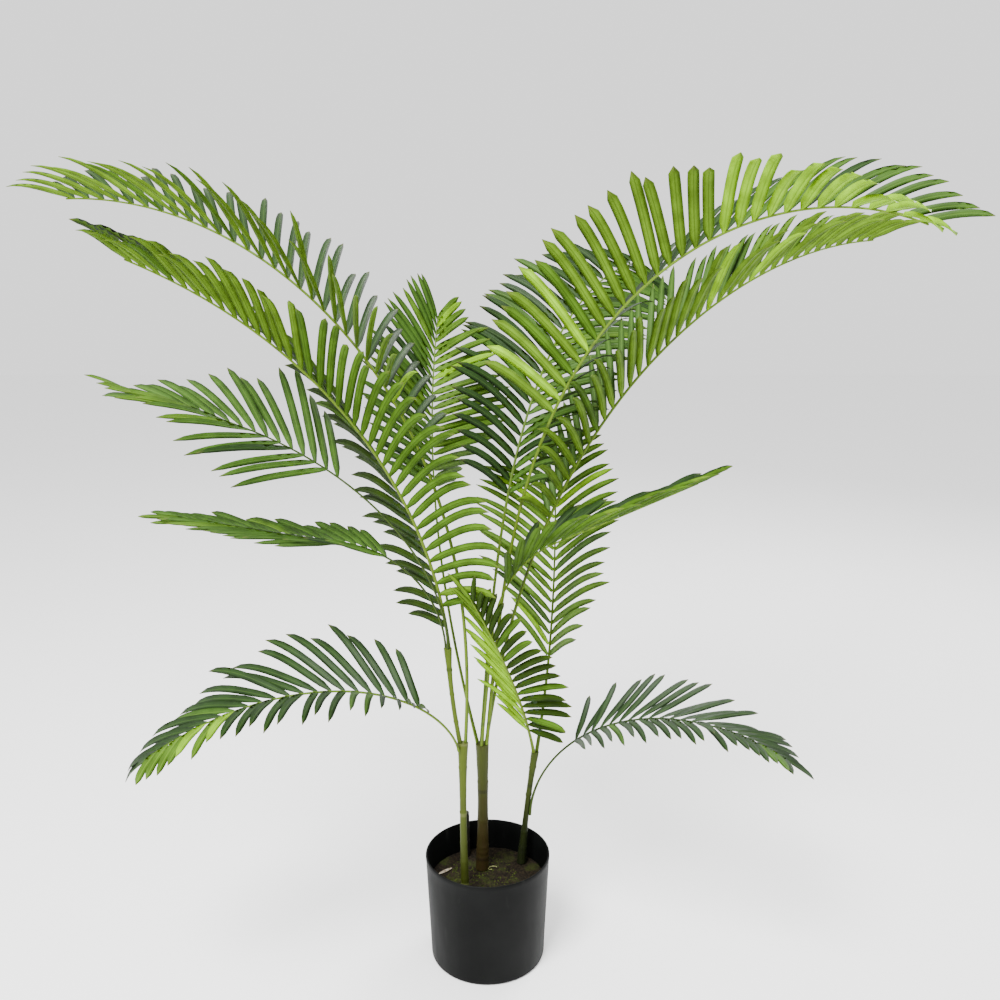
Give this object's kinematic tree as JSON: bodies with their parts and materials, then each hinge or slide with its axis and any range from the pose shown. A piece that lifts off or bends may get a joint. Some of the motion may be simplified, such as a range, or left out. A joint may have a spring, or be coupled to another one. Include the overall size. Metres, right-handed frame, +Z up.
{
  "type": "artificial areca palm in a nursery pot",
  "caption": "Tall artificial palm with arching feather-like fronds on slim plastic stems, set in weighted fill in a plain round black pot.",
  "frame": {"origin": "centre of the pot's flat underside", "axes": "+Z up the plant, +X to the right and -Y towards the viewer in its front view"},
  "size_m": [1.0339, 0.5819, 0.9355],
  "materials": {
    "pot_plastic": "satin black moulded plastic with faint scuffs",
    "fill": "rough dark brown filler with a mossy green tint",
    "stem": "satin olive green plastic with darker rings",
    "cut_stem": "dark brown matt plastic",
    "frond": "semi-gloss printed leaf fabric, green with a lighter underside"
  },
  "bodies": {
    "root": {"cut_stub": "cut_stem", "frond_back_right": "frond", "frond_back_right_outer": "frond", "frond_back_right_petiole": "frond", "frond_back_upright": "frond", "frond_back_upright_petiole": "frond", "frond_centre_upright": "frond", "frond_centre_upright_petiole": "frond", "frond_front_small": "frond", "frond_left_arch": "frond", "frond_left_arch_outer": "frond", "frond_left_basal": "frond", "frond_left_basal_petiole": "frond", "frond_left_low": "frond", "frond_left_low_petiole": "frond", "frond_left_middle": "frond", "frond_left_middle_petiole": "frond", "frond_left_top": "frond", "frond_left_top_outer": "frond", "frond_left_top_petiole": "frond", "frond_right_arch": "frond", "frond_right_arch_outer": "frond", "frond_right_arch_petiole": "frond", "frond_right_basal": "frond", "frond_right_basal_petiole": "frond", "frond_right_front": "frond", "frond_right_front_outer": "frond", "frond_right_front_petiole": "frond", "frond_right_middle": "frond", "frond_right_middle_petiole": "frond", "pot": "pot_plastic", "pot_fill": "fill", "stem_centre": "stem", "stem_left": "stem", "stem_left_limb": "stem", "stem_right": "stem"}
  },
  "joints": []
}
